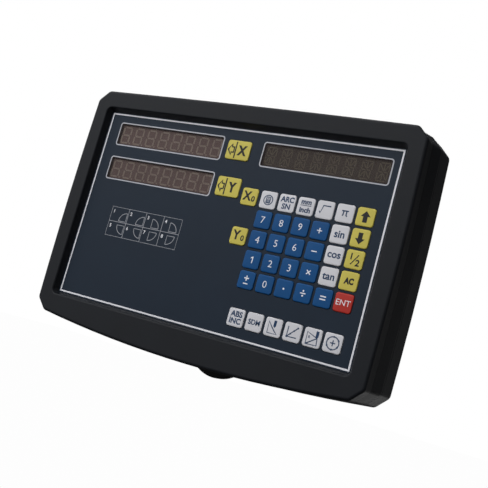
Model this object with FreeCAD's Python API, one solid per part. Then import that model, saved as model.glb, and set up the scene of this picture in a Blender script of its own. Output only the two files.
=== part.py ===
"""Two-axis digital readout console: the display and keypad unit that stands beside a milling machine
or lathe and shows the position of its table. Black moulded case in two halves, printed front overlay,
three smoked display windows, forty spring keys, boards inside, sockets behind, tilting arm mount.

Row frame, in millimetres: +X to the user's right, +Y away from the user, +Z up. The origin is the
centre of the rear face of the round arm flange, on the tilt pivot's level. "Depth" is the distance
behind the printed front overlay."""

import FreeCAD
import Part

import math
import os

V = FreeCAD.Vector

# ---------------------------------------------------------------- arm mount and tilt pivot
FLANGE_R = 30.0            # round flange that bolts to the arm
FLANGE_T = 6.0
FLANGE_PCD = 40.0
FLANGE_HOLES = 4
FLANGE_HOLE_R = 2.75
PIVOT_BACK = 20.5          # tilt axis, in front of the flange's rear face
PIVOT_BOLT_R = 4.0
PIVOT_CLEARANCE = 0.08     # running clearance on the bolt, on the radius
KNUCKLE_R = 8.0
KNUCKLE_HALF_W = 15.8
EAR_CLEARANCE = 0.3        # each side of the knuckle
EAR_T = 6.0
EAR_R = 8.0
PLATE_HALF_W = 34.0
PLATE_TOP = 30.0
PLATE_BOTTOM = -15.0
PLATE_T = 4.0
PLATE_SCREW_X = 28.0
PLATE_SCREW_Z = (-9.0, 23.0)
HEX_ACROSS_FLATS = 13.0
HEX_HEAD_T = 5.3
HEX_SEAT = 2.0             # depth of the six-sided seat that holds the bolt's head
HEX_CLEARANCE = 0.15
KNOB_R = 10.5
KNOB_LOBES = 5
KNOB_LOBE_CUT_R = 4.2
KNOB_T = 14.0
WASHER_T = 1.5
WASHER_R = 8.0

# ---------------------------------------------------------------- front overlay and its recess
LINE_W = 255.2             # printed border line, centre to centre
LINE_H = 154.4
OVERLAY_MARGIN = 1.5       # overlay beyond the border line
OVERLAY_T = 0.5
OVERLAY_GAP = 0.15
PANEL_T = 2.5              # case wall behind the overlay
RIM_H = 5.5                # case rim in front of the overlay
RIM_SLOPE = 2.4            # how far the recess opens out towards the front
RECESS_CORNER_R = 5.0
SEAT_CORNER_R = 1.2
LINE_ABOVE_PIVOT = 4.8     # bottom of the border line above the tilt axis
CASE_DEPTH = 45.0          # rear wall's outer face, depth behind the overlay
CASE_TO_FLANGE = 16.5      # rear wall's outer face to the flange's rear face

# ---------------------------------------------------------------- case outline, round the border line
RIM_SIDE = 16.3            # border line to the case's front edge at the corners
RIM_TOP = 18.1
RIM_BOTTOM = 19.1
SIDE_BOW = 1.3             # how far each edge swells in its middle
TOP_BOW = 0.8
BOTTOM_BOW = 8.2
CORNER_CUT = 9.0
CORNER_R = 5.0
FRONT_EDGE_R = 2.4
RECESS_EDGE_R = 1.2
WALL = 2.5
SHOULDER_SIDE = 4.2        # the rear half stands out this far past the front frame
SHOULDER_END = 0.0
SHOULDER_START = 7.0       # depths
SHOULDER_END_DEPTH = 16.2
SHOULDER_WALL = 0.5        # thickness of the slanting shoulder, along the depth
BEZEL_BACK = 18.6
PARTING_GAP = 0.6
SHELL_SWELL_SIDE = 1.0
SHELL_SWELL_END = 0.8
SHELL_WIDEST = CASE_DEPTH - 7.5
SHELL_TAPER = 7.0
TONGUE_T = 1.1
TONGUE_H = 2.0
TONGUE_CLEARANCE = 0.15
LIP_T = 1.3
SHELL_EDGE_R = 3.0
CUT_SHARE = 2.0 - math.sqrt(2.0)   # how a 45 degree corner cut shrinks with an inset

# ---------------------------------------------------------------- displays
WINDOW_W = 100.4
WINDOW_H = 17.8
WINDOW_T = 2.0
WINDOW_CLEARANCE = 0.1
WINDOW_LEDGE = 0.8
WINDOW_R = 1.5
AXIS_WINDOW_X = -LINE_W / 2 + 62.0
MESSAGE_WINDOW_X = LINE_W / 2 - 56.1
TOP_WINDOW_V = LINE_H / 2 - 16.5     # heights above the border line's centre
LOWER_WINDOW_V = TOP_WINDOW_V - 29.3
MODULE_W = 50.1            # four-digit module
MODULE_H = 19.0
MODULE_PITCH = 50.4
MODULE_DEPTH = 3.4         # depth of its face
BOARD_DEPTH = 11.5         # front face of the main board

# ---------------------------------------------------------------- keys
KEY_PITCH = 15.24
KEY_SIZE = 13.3
KEY_R = 1.9
KEY_PROUD = 0.8
KEY_EDGE_R = 0.35
KEY_CLEARANCE = 0.25
KEY_LIP = 0.55             # retaining lip all round, behind the case wall
KEY_LIP_T = 0.8
KEY_LIP_GAP = 0.1
KEY_TRAVEL = 0.5
KEY_FIRST_X = LINE_W / 2 - 91.1
KEY_TOP_V = LINE_H / 2 - 50.5
FUNCTION_ROW_V = -LINE_H / 2 + 14.8
ZERO_KEY_X = KEY_FIRST_X - 16.1
AXIS_KEY_X = AXIS_WINDOW_X + 65.8
AXIS_KEY_W = 20.6
AXIS_KEY_H = 15.3
SWITCH_SIZE = 6.0
SWITCH_H = 3.5
STEM_R = 1.65
STEM_CLEARANCE = 0.2
STEM_IN_SWITCH = 1.0
KEY_ROWS = (
    ("calculator", "arc", "units", "root", "pi", "up"),
    ("7", "8", "9", "plus", "sin", "down"),
    ("4", "5", "6", "minus", "cos", "half"),
    ("1", "2", "3", "times", "tan", "clear"),
    ("sign", "0", "point", "divide", "equals", "enter"),
)
FUNCTION_KEYS = ("datum_mode", "datum_memory", "arc_cut", "hole_line", "slope_cut", "hole_circle")

# ---------------------------------------------------------------- boards and their screws
BOARD_T = 1.6
BOARD_HALF_W = LINE_W / 2 - 8.6
BOARD_HALF_H = LINE_H / 2 - 0.7
BOARD_SCREW_X = BOARD_HALF_W - 7.0
BOARD_SCREW_V = BOARD_HALF_H - 3.1
BOARD_SCREWS = [(sx * BOARD_SCREW_X, sv * BOARD_SCREW_V) for sx in (-1, 0, 1) for sv in (-1, 1)]
BOARD_SCREWS += [(-BOARD_SCREW_X, 5.0), (-20.0, 5.0)]
BOARD_BOSS_R = 2.9
SMALL_SCREW_R = 1.4
SMALL_HEAD_R = 2.7
SMALL_HEAD_T = 2.0
SMALL_SCREW_L = 7.0
SCREW_CLEARANCE = 0.1
POWER_BOARD_W = 120.0
POWER_BOARD_H = 62.0
POWER_BOARD_X = -20.0
POWER_BOARD_V = 32.0
POWER_BOARD_DEPTH = CASE_DEPTH - 10.5
POWER_SCREW_INSET = 5.0

# ---------------------------------------------------------------- case screws
CASE_SCREWS = [(s * (LINE_W / 2 - 3.1), LINE_H / 2 - 1.7) for s in (-1, 1)]
CASE_SCREWS += [(s * (LINE_W / 2 - 5.1), -LINE_H / 2 - 5.8) for s in (-1, 1)]
CASE_SCREWS += [(s * 72.0, -LINE_H / 2 - 11.8) for s in (-1, 1)]
CASE_SCREW_R = 1.95
CASE_HEAD_R = 3.8
CASE_HEAD_T = 2.8
CASE_SCREW_L = 16.0
POST_R = 5.6
POST_BORE_R = 4.3
POST_FLOOR = 24.0          # depth of the screw head's seat
BOSS_R = 4.0
THREAD_CLEARANCE = 0.05

# ---------------------------------------------------------------- rear pocket, sockets and vents
POCKET_HALF_W = 52.0
POCKET_TOP = 46.0          # above the pivot
POCKET_DEPTH = CASE_DEPTH - 19.0     # depth of its floor behind the overlay
POCKET_R = 6.0
SOCKET_V = -LINE_H / 2 + 11.2
SOCKET_HOLE_GAP = 0.2      # wall openings round every rear fitting, each side
SOCKET_HOLE_R = 0.2
SCALE_SOCKET_X = (-116.0, -80.0)
D_FLANGE_W = 30.8
D_FLANGE_H = 12.5
D_FLANGE_T = 0.8
D_BODY_W = 19.2
D_BODY_H = 10.6
D_SHELL_W = 16.9
D_SHELL_H = 8.3
D_SHELL_OUT = 5.9
D_SLANT = 1.3
D_PIN_PITCH = 2.77
D_ROW_PITCH = 2.84
D_PIN_R = 0.55
D_NUT_X = 12.5
D_NUT_R = 2.6
D_NUT_L = 5.0
INLET_X = 80.0
INLET_W = 27.0
INLET_H = 31.0
INLET_RIM = 2.0
INLET_RIM_T = 2.5
INLET_BODY_L = 17.0
INLET_MOUTH_W = 24.0
INLET_MOUTH_H = 16.0
INLET_MOUTH_V = 6.0        # mouth's centre above the inlet's centre
INLET_MOUTH_CUT = 4.0
INLET_MOUTH_L = 16.0
INLET_PIN_BACK = 6.0
DRAWER_W = 22.0
DRAWER_H = 8.6
DRAWER_V = -9.2
DRAWER_L = 14.0
DRAWER_PROUD = 1.2
DRAWER_CLEARANCE = 0.25
SWITCH_X = 116.0
ROCKER_FRAME_W = 15.0
ROCKER_FRAME_H = 21.0
ROCKER_BODY_W = 13.0
ROCKER_BODY_H = 19.2
ROCKER_BODY_L = 14.0
ROCKER_W = 9.6
ROCKER_H = 15.4
ROCKER_CLEARANCE = 0.35
ROCKER_PIN_R = 1.0
ROCKER_TILT = 12.0
GROUND_X = -98.0
GROUND_V = SOCKET_V - 16.0
GROUND_R = 2.0
VENT_W = 34.0
VENT_H = 2.4
VENT_PITCH = 6.0
VENT_COUNT = 7
VENT_X = (-98.0, 62.0, 102.0)
VENT_TOP_V = 66.0

# ---------------------------------------------------------------- worked out
PANEL_Y = -(CASE_TO_FLANGE + CASE_DEPTH)
PANEL_Z = LINE_ABOVE_PIVOT + LINE_H / 2
PIVOT_Y = -PIVOT_BACK
PANEL_BACK = OVERLAY_T + PANEL_T
BOARD_BACK = BOARD_DEPTH + BOARD_T
SHELL_FRONT = BEZEL_BACK + PARTING_GAP
SHELL_FLOOR = CASE_DEPTH - WALL


def y_at(depth):
    """Row Y of a depth behind the overlay."""
    return PANEL_Y + depth


def z_at(v):
    """Row Z of a height above the border line's centre."""
    return PANEL_Z + v


# ================================================================ small helpers
def block(x0, x1, depth0, depth1, z0, z1):
    """Box between two depths, other limits in the row frame."""
    return Part.makeBox(x1 - x0, depth1 - depth0, z1 - z0, V(x0, y_at(depth0), z0))


def rod(radius, depth0, depth1, x, z):
    """Round bar along Y between two depths."""
    return Part.makeCylinder(radius, depth1 - depth0, V(x, y_at(depth0), z), V(0, 1, 0))


def cross_rod(radius, x0, x1, y=PIVOT_Y, z=0.0):
    """Round bar along X, on the tilt axis unless placed elsewhere."""
    return Part.makeCylinder(radius, x1 - x0, V(x0, y, z), V(1, 0, 0))


def along(shape, axis):
    """Edges of a shape that are straight and parallel to an axis."""
    return [e for e in shape.Edges
            if e.Curve.TypeId == "Part::GeomLine" and abs(abs(e.tangentAt(e.FirstParameter).dot(axis)) - 1) < 1e-6]


def pad(w, h, r, depth0, depth1, x, z):
    """Plate with rounded corners, standing in the XZ plane between two depths."""
    plate = block(x - w / 2, x + w / 2, depth0, depth1, z - h / 2, z + h / 2)
    return plate.makeFillet(r, along(plate, V(0, 1, 0)))


def wire_at(shape, y):
    """Outer wire of the flat face that a shape has in the plane of that Y."""
    faces = [f for f in shape.Faces if abs(f.BoundBox.YMin - y) < 1e-6 and abs(f.BoundBox.YMax - y) < 1e-6]
    return max(faces, key=lambda f: f.Area).OuterWire


def front_edges(shape, y):
    """Edges that lie wholly in the plane of that Y."""
    return [e for e in shape.Edges if abs(e.BoundBox.YMin - y) < 1e-3 and abs(e.BoundBox.YMax - y) < 1e-3]


def solid_of(shapes):
    return Part.makeCompound(shapes)


# ================================================================ case outline
def case_prism(side, end, depth0, depth1):
    """The case's outline, let out by side at left and right and by end above and below, as a prism."""
    half = LINE_W / 2 + RIM_SIDE + side
    top = z_at(LINE_H / 2 + RIM_TOP + end)
    bottom = z_at(-LINE_H / 2 - RIM_BOTTOM - end)
    cut = CORNER_CUT + CUT_SHARE * min(side, end, 0.0)
    y = y_at(depth0)
    mid = (top + bottom) / 2
    top_arc = Part.Arc(V(-half + cut, y, top), V(0, y, top + TOP_BOW), V(half - cut, y, top))
    right_arc = Part.Arc(V(half, y, top - cut), V(half + SIDE_BOW, y, mid), V(half, y, bottom + cut))
    bottom_arc = Part.Arc(V(half - cut, y, bottom), V(0, y, bottom - BOTTOM_BOW), V(-half + cut, y, bottom))
    left_arc = Part.Arc(V(-half, y, bottom + cut), V(-half - SIDE_BOW, y, mid), V(-half, y, top - cut))
    edges = [
        top_arc.toShape(),
        Part.LineSegment(V(half - cut, y, top), V(half, y, top - cut)).toShape(),
        right_arc.toShape(),
        Part.LineSegment(V(half, y, bottom + cut), V(half - cut, y, bottom)).toShape(),
        bottom_arc.toShape(),
        Part.LineSegment(V(-half + cut, y, bottom), V(-half, y, bottom + cut)).toShape(),
        left_arc.toShape(),
        Part.LineSegment(V(-half, y, top - cut), V(-half + cut, y, top)).toShape(),
    ]
    prism = Part.Face(Part.Wire(edges)).extrude(V(0, depth1 - depth0, 0))
    return prism.makeFillet(CORNER_R + min(side, 0.0) / 2, along(prism, V(0, 1, 0)))


def case_loft(stations):
    """Solid through the case's outline at several (side, end, depth) stations, with straight flanks."""
    wires = [wire_at(case_prism(side, end, depth, depth + 1), y_at(depth)) for side, end, depth in stations]
    return Part.makeLoft(wires, True, True)


# ================================================================ where the keys and windows are
def key_places():
    """name: (x, height above the border's centre, width, height) of every key."""
    places = {
        "key_x": (AXIS_KEY_X, TOP_WINDOW_V, AXIS_KEY_W, AXIS_KEY_H),
        "key_y": (AXIS_KEY_X, LOWER_WINDOW_V, AXIS_KEY_W, AXIS_KEY_H),
        "key_x_zero": (ZERO_KEY_X, KEY_TOP_V, KEY_SIZE, KEY_SIZE),
        "key_y_zero": (ZERO_KEY_X, KEY_TOP_V - 2 * KEY_PITCH, KEY_SIZE, KEY_SIZE),
    }
    for r, names in enumerate(KEY_ROWS):
        for c, name in enumerate(names):
            places["key_" + name] = (KEY_FIRST_X + c * KEY_PITCH, KEY_TOP_V - r * KEY_PITCH, KEY_SIZE, KEY_SIZE)
    for c, name in enumerate(FUNCTION_KEYS):
        places["key_" + name] = (KEY_FIRST_X + c * KEY_PITCH, FUNCTION_ROW_V, KEY_SIZE, KEY_SIZE)
    return places


WINDOWS = ((AXIS_WINDOW_X, TOP_WINDOW_V), (AXIS_WINDOW_X, LOWER_WINDOW_V), (MESSAGE_WINDOW_X, TOP_WINDOW_V))


def key_holes(depth0, depth1):
    """Cutters for every key's hole."""
    grow = 2 * KEY_CLEARANCE
    return [pad(w + grow, h + grow, KEY_R + KEY_CLEARANCE, depth0, depth1, x, z_at(v))
            for x, v, w, h in key_places().values()]


# ================================================================ front half
def make_front_bezel():
    frame = case_prism(0, 0, -RIM_H, SHOULDER_START)
    frame = frame.makeFillet(FRONT_EDGE_R, front_edges(frame, y_at(-RIM_H)))
    shoulder = case_loft([(0, 0, SHOULDER_START), (SHOULDER_SIDE, SHOULDER_END, SHOULDER_END_DEPTH)])
    lip = case_prism(SHOULDER_SIDE, SHOULDER_END, SHOULDER_END_DEPTH, BEZEL_BACK)
    body = frame.fuse([shoulder, lip]).removeSplitter()

    seat_w = LINE_W + 2 * (OVERLAY_MARGIN + OVERLAY_GAP)
    seat_h = LINE_H + 2 * (OVERLAY_MARGIN + OVERLAY_GAP)
    mouth = wire_at(pad(seat_w + 2 * RIM_SLOPE, seat_h + 2 * RIM_SLOPE, RECESS_CORNER_R,
                        -RIM_H, 0, 0, z_at(0)), y_at(-RIM_H))
    foot = wire_at(pad(seat_w, seat_h, SEAT_CORNER_R, 0, 1, 0, z_at(0)), y_at(0))
    recess = Part.makeLoft([mouth, foot], True, True)
    seat = pad(seat_w, seat_h, SEAT_CORNER_R, 0, OVERLAY_T, 0, z_at(0))
    body = body.cut(recess)
    inner_loop = [e for e in front_edges(body, y_at(-RIM_H)) if abs(e.CenterOfMass.x) < LINE_W / 2 + RIM_SIDE / 2
                  and abs(e.CenterOfMass.z - PANEL_Z) < LINE_H / 2 + RIM_TOP / 2]
    body = body.makeFillet(RECESS_EDGE_R, inner_loop)
    body = body.cut(seat)

    narrow_end = SHOULDER_START + SHOULDER_WALL
    wide_start = SHOULDER_END_DEPTH + SHOULDER_WALL
    hollow = case_prism(-WALL, -WALL, WALL - RIM_H, narrow_end)
    widening = case_loft([(-WALL, -WALL, narrow_end), (SHOULDER_SIDE - WALL, SHOULDER_END - WALL, wide_start)])
    mouth_back = case_prism(SHOULDER_SIDE - WALL, SHOULDER_END - WALL, wide_start, BEZEL_BACK + 1)
    rebate = case_prism(SHOULDER_SIDE - LIP_T, SHOULDER_END - LIP_T, BEZEL_BACK - TONGUE_H, BEZEL_BACK + 1)
    pan = pad(seat_w + 2 * RIM_SLOPE + 2 * WALL, seat_h + 2 * RIM_SLOPE + 2 * WALL, RECESS_CORNER_R + WALL,
              -RIM_H, PANEL_BACK, 0, z_at(0))
    bosses = [rod(BOARD_BOSS_R, OVERLAY_T, BOARD_DEPTH, x, z_at(v)) for x, v in BOARD_SCREWS]
    bosses += [rod(BOSS_R, WALL / 2 - RIM_H, BEZEL_BACK, x, z_at(v)) for x, v in CASE_SCREWS]
    keep = pan.fuse(bosses)
    body = body.cut(hollow.fuse([widening, mouth_back, rebate]).cut(keep))

    pilots = [rod(SMALL_SCREW_R + THREAD_CLEARANCE, BOARD_BACK - SMALL_SCREW_L - 0.5, BOARD_DEPTH + 1, x, z_at(v))
              for x, v in BOARD_SCREWS]
    pilots += [rod(CASE_SCREW_R + THREAD_CLEARANCE, POST_FLOOR - CASE_SCREW_L - 1, BEZEL_BACK + 1, x, z_at(v))
               for x, v in CASE_SCREWS]
    window_seats = []
    for x, v in WINDOWS:
        window_seats.append(pad(WINDOW_W + 2 * WINDOW_CLEARANCE, WINDOW_H + 2 * WINDOW_CLEARANCE,
                                WINDOW_R, 0, WINDOW_T, x, z_at(v)))
        window_seats.append(pad(WINDOW_W - 2 * WINDOW_LEDGE, WINDOW_H - 2 * WINDOW_LEDGE,
                                WINDOW_R - WINDOW_LEDGE, 0, PANEL_BACK + 1, x, z_at(v)))
    return body.cut(pilots + window_seats + key_holes(0, PANEL_BACK + 1))


def make_front_overlay():
    sheet = pad(LINE_W + 2 * OVERLAY_MARGIN, LINE_H + 2 * OVERLAY_MARGIN, SEAT_CORNER_R, 0, OVERLAY_T, 0, z_at(0))
    windows = [pad(WINDOW_W + 2 * WINDOW_CLEARANCE, WINDOW_H + 2 * WINDOW_CLEARANCE, WINDOW_R,
                   -1, OVERLAY_T + 1, x, z_at(v)) for x, v in WINDOWS]
    return sheet.cut(windows + key_holes(-1, OVERLAY_T + 1))


def make_display_windows():
    return solid_of([pad(WINDOW_W, WINDOW_H, WINDOW_R - WINDOW_CLEARANCE, 0, WINDOW_T, x, z_at(v))
                     for x, v in WINDOWS])


def make_digit_modules():
    """Two four-digit modules behind each window, on the main board."""
    return solid_of([block(x + s * MODULE_PITCH / 2 - MODULE_W / 2, x + s * MODULE_PITCH / 2 + MODULE_W / 2,
                           MODULE_DEPTH, BOARD_DEPTH, z_at(v) - MODULE_H / 2, z_at(v) + MODULE_H / 2)
                     for x, v in WINDOWS for s in (-1, 1)])


def make_key(x, v, w, h):
    """Cap through the overlay and case wall, retaining lip behind the wall, stem down into its switch."""
    lip_front = PANEL_BACK + KEY_LIP_GAP
    cap = pad(w, h, KEY_R, -KEY_PROUD, lip_front, x, z_at(v))
    cap = cap.makeFillet(KEY_EDGE_R, front_edges(cap, y_at(-KEY_PROUD)))
    lip = pad(w + 2 * KEY_LIP, h + 2 * KEY_LIP, KEY_R, lip_front, lip_front + KEY_LIP_T, x, z_at(v))
    stem = rod(STEM_R, lip_front, BOARD_DEPTH - SWITCH_H + STEM_IN_SWITCH, x, z_at(v))
    return cap.fuse([lip, stem]).removeSplitter()


def make_key_switches():
    """One small switch on the board behind each key, with a bore that the key's stem presses down."""
    half = SWITCH_SIZE / 2
    bodies = []
    for x, v, _w, _h in key_places().values():
        body = block(x - half, x + half, BOARD_DEPTH - SWITCH_H, BOARD_DEPTH, z_at(v) - half, z_at(v) + half)
        bore = rod(STEM_R + STEM_CLEARANCE, BOARD_DEPTH - SWITCH_H - 1,
                   BOARD_DEPTH - SWITCH_H + STEM_IN_SWITCH + 2 * KEY_TRAVEL, x, z_at(v))
        bodies.append(body.cut(bore))
    return solid_of(bodies)


def make_main_board():
    """Board that carries the digit modules and key switches in front, and its chips behind."""
    board = block(-BOARD_HALF_W, BOARD_HALF_W, BOARD_DEPTH, BOARD_BACK,
                  z_at(-BOARD_HALF_H), z_at(BOARD_HALF_H))
    holes = [rod(SMALL_SCREW_R + SCREW_CLEARANCE, BOARD_DEPTH - 1, BOARD_BACK + 1, x, z_at(v))
             for x, v in BOARD_SCREWS]
    chips = []
    for x, v, w, h, t in ((70, 10, 14, 14, 1.6), (-90, 45, 10, 6, 1.8), (-60, 45, 10, 6, 1.8), (-30, 45, 10, 6, 1.8),
                          (60, 45, 10, 6, 1.8), (90, 45, 10, 6, 1.8), (100, 10, 12, 8, 1.8), (-60, -50, 24, 6, 6.0)):
        chips.append(block(x - w / 2, x + w / 2, BOARD_BACK, BOARD_BACK + t, z_at(v) - h / 2, z_at(v) + h / 2))
    return solid_of([board.cut(holes)] + chips)


# ================================================================ rear half
def make_rear_shell():
    side, end = SHOULDER_SIDE, SHOULDER_END
    wide_side, wide_end = side + SHELL_SWELL_SIDE, end + SHELL_SWELL_END
    body = case_loft([(side, end, SHELL_FRONT), (wide_side, wide_end, SHELL_WIDEST)])
    tail = case_loft([(wide_side, wide_end, SHELL_WIDEST), (wide_side - SHELL_TAPER, wide_end - SHELL_TAPER, CASE_DEPTH)])
    body = body.fuse(tail)
    body = body.makeFillet(SHELL_EDGE_R, front_edges(body, y_at(CASE_DEPTH)))
    hollow = case_loft([(side - WALL, end - WALL, SHELL_FRONT), (wide_side - WALL, wide_end - WALL, SHELL_WIDEST - 1)])
    floor_inset = SHELL_TAPER * (SHELL_FLOOR - SHELL_WIDEST) / (CASE_DEPTH - SHELL_WIDEST) + 1.2 * WALL
    hollow_tail = case_loft([(wide_side - WALL, wide_end - WALL, SHELL_WIDEST - 1),
                             (wide_side - floor_inset, wide_end - floor_inset, SHELL_FLOOR)])

    pocket_bottom = z_at(-LINE_H / 2 - RIM_BOTTOM) - BOTTOM_BOW - 2 * WALL
    pocket = pad(2 * POCKET_HALF_W, POCKET_TOP - pocket_bottom, POCKET_R, POCKET_DEPTH, CASE_DEPTH + 1,
                 0, (POCKET_TOP + pocket_bottom) / 2)
    pocket_wall = pad(2 * (POCKET_HALF_W + WALL), POCKET_TOP - pocket_bottom + 2 * WALL, POCKET_R + WALL,
                      POCKET_DEPTH - WALL, CASE_DEPTH, 0, (POCKET_TOP + pocket_bottom) / 2)
    posts = [rod(POST_R, SHELL_FRONT, CASE_DEPTH, x, z_at(v)) for x, v in CASE_SCREWS]
    pegs = [rod(BOARD_BOSS_R, POWER_BOARD_DEPTH + BOARD_T, SHELL_FLOOR, x, z) for x, z in power_screws()]
    inside = hollow.fuse(hollow_tail).cut(pocket_wall.fuse(posts + pegs))
    body = body.cut(inside)

    ring_out = case_prism(side - LIP_T - TONGUE_CLEARANCE, end - LIP_T - TONGUE_CLEARANCE,
                          BEZEL_BACK - TONGUE_H + TONGUE_CLEARANCE, SHELL_FRONT + WALL)
    ring_in = case_prism(side - LIP_T - TONGUE_CLEARANCE - TONGUE_T, end - LIP_T - TONGUE_CLEARANCE - TONGUE_T,
                         BEZEL_BACK - TONGUE_H - 1, SHELL_FRONT + WALL + 1)
    tongue_gaps = [rod(POST_R + 1, BEZEL_BACK - TONGUE_H - 1, SHELL_FRONT, x, z_at(v)) for x, v in CASE_SCREWS]
    body = body.fuse(ring_out.cut(ring_in).cut(tongue_gaps))

    cuts = [pocket]
    cuts += [rod(POST_BORE_R, POST_FLOOR, CASE_DEPTH + 1, x, z_at(v)) for x, v in CASE_SCREWS]
    cuts += [rod(CASE_SCREW_R + 2 * SCREW_CLEARANCE, SHELL_FRONT - 1, POST_FLOOR + 1, x, z_at(v))
             for x, v in CASE_SCREWS]
    cuts += [rod(SMALL_SCREW_R + THREAD_CLEARANCE, POWER_BOARD_DEPTH, POWER_BOARD_DEPTH + SMALL_SCREW_L, x, z)
             for x, z in power_screws()]
    cuts += [rod(SMALL_SCREW_R + THREAD_CLEARANCE, POCKET_DEPTH - WALL - 1, POCKET_DEPTH + 1, x, z)
             for x, z in plate_screws()]
    for x in VENT_X:
        for k in range(VENT_COUNT):
            z = z_at(VENT_TOP_V - k * VENT_PITCH)
            cuts.append(pad(VENT_W, VENT_H, VENT_H / 2 - 0.05, SHELL_FLOOR - 1, CASE_DEPTH + 1, x, z))
    z = z_at(SOCKET_V)
    fittings = [(x, D_BODY_W, D_BODY_H) for x in SCALE_SOCKET_X]
    fittings += [(INLET_X, INLET_W, INLET_H), (SWITCH_X, ROCKER_BODY_W, ROCKER_BODY_H)]
    for x, w, h in fittings:
        cuts.append(pad(w + 2 * SOCKET_HOLE_GAP, h + 2 * SOCKET_HOLE_GAP, SOCKET_HOLE_R,
                        SHELL_FLOOR - 1, CASE_DEPTH + 1, x, z))
    cuts.append(rod(GROUND_R + SCREW_CLEARANCE, SHELL_FLOOR - 1, CASE_DEPTH + 1, GROUND_X, z_at(GROUND_V)))
    return body.cut(cuts)


def power_screws():
    half_w = POWER_BOARD_W / 2 - POWER_SCREW_INSET
    half_h = POWER_BOARD_H / 2 - POWER_SCREW_INSET
    return [(POWER_BOARD_X + sx * half_w, z_at(POWER_BOARD_V) + sz * half_h) for sx in (-1, 1) for sz in (-1, 1)]


def plate_screws():
    return [(sx * PLATE_SCREW_X, z) for sx in (-1, 1) for z in PLATE_SCREW_Z]


def make_power_supply():
    """Board on four pegs of the rear shell, with its transformer, capacitors, heat sink and terminals."""
    front = POWER_BOARD_DEPTH
    x0, z0 = POWER_BOARD_X, z_at(POWER_BOARD_V)
    board = block(x0 - POWER_BOARD_W / 2, x0 + POWER_BOARD_W / 2, front, front + BOARD_T,
                  z0 - POWER_BOARD_H / 2, z0 + POWER_BOARD_H / 2)
    holes = [rod(SMALL_SCREW_R + SCREW_CLEARANCE, front - 1, front + BOARD_T + 1, x, z) for x, z in power_screws()]
    core = block(x0 - 18, x0 + 18, front - 17, front, z0 - 15, z0 + 15)
    bulk = rod(8, front - 16, front, x0 + 36, z0 + 6)
    smooth = [rod(5, front - 12, front, x0 - 34, z0 + s * 12) for s in (-1, 1)]
    sink = block(x0 + 26, x0 + 46, front - 14, front, z0 - 18, z0 - 12)
    terminal = block(x0 - 52, x0 - 44, front - 9, front, z0 - 14, z0 + 14)
    return solid_of([board.cut(holes), core, bulk, sink, terminal] + smooth)


# ================================================================ sockets and switch behind
def d_shape(width, height, slant, depth0, depth1, x, z):
    """Trapezoid with rounded corners: the outline of a nine-way data socket."""
    y = y_at(depth0)
    corners = [V(x - width / 2, y, z + height / 2), V(x + width / 2, y, z + height / 2),
               V(x + width / 2 - slant, y, z - height / 2), V(x - width / 2 + slant, y, z - height / 2)]
    face = Part.Face(Part.makePolygon(corners + corners[:1]))
    prism = face.extrude(V(0, depth1 - depth0, 0))
    return prism.makeFillet(height / 5, along(prism, V(0, 1, 0)))


def make_scale_sockets():
    """Two nine-way sockets, one for each axis's linear scale, with their flange, shell and jack nuts."""
    solids = []
    z = z_at(SOCKET_V)
    for x in SCALE_SOCKET_X:
        flange = pad(D_FLANGE_W, D_FLANGE_H, 1.5, CASE_DEPTH, CASE_DEPTH + D_FLANGE_T, x, z)
        body = block(x - D_BODY_W / 2, x + D_BODY_W / 2, CASE_DEPTH - 8, CASE_DEPTH, z - D_BODY_H / 2, z + D_BODY_H / 2)
        shell = d_shape(D_SHELL_W, D_SHELL_H, D_SLANT, CASE_DEPTH, CASE_DEPTH + D_SHELL_OUT, x, z)
        pins = []
        for count, row in ((5, 1), (4, -1)):
            for k in range(count):
                pins.append(rod(D_PIN_R, CASE_DEPTH + D_SHELL_OUT - 4, CASE_DEPTH + D_SHELL_OUT + 1,
                                x + (k - (count - 1) / 2) * D_PIN_PITCH, z + row * D_ROW_PITCH / 2))
        nuts = []
        for s in (-1, 1):
            nut = hex_bar(2 * D_NUT_R * math.cos(math.pi / 6), V(x + s * D_NUT_X, y_at(CASE_DEPTH + D_FLANGE_T), z),
                          V(0, 1, 0), D_NUT_L)
            nuts.append(nut.cut(rod(1.4, CASE_DEPTH + 2, CASE_DEPTH + 10, x + s * D_NUT_X, z)))
        solids.append(flange.fuse([body, shell]).cut(pins).removeSplitter())
        solids += nuts
    return solid_of(solids)


def hex_bar(across_flats, start, direction, length):
    """Six-sided bar from a point along a direction."""
    radius = across_flats / 2 / math.cos(math.pi / 6)
    side = V(0, 0, 1)
    other = direction.cross(side)
    points = [start + side * (radius * math.cos(math.radians(60 * k)))
              + other * (radius * math.sin(math.radians(60 * k))) for k in range(6)]
    return Part.Face(Part.makePolygon(points + points[:1])).extrude(direction * length)


def inlet_mouth(depth0, depth1):
    """The mains inlet's mouth: a rectangle with its two upper corners cut off."""
    x, z = INLET_X, z_at(SOCKET_V) + INLET_MOUTH_V
    w, h, c = INLET_MOUTH_W / 2, INLET_MOUTH_H / 2, INLET_MOUTH_CUT
    y = y_at(depth0)
    points = [V(x - w, y, z - h), V(x + w, y, z - h), V(x + w, y, z + h - c), V(x + w - c, y, z + h),
              V(x - w + c, y, z + h), V(x - w, y, z + h - c)]
    return Part.Face(Part.makePolygon(points + points[:1])).extrude(V(0, depth1 - depth0, 0))


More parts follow.
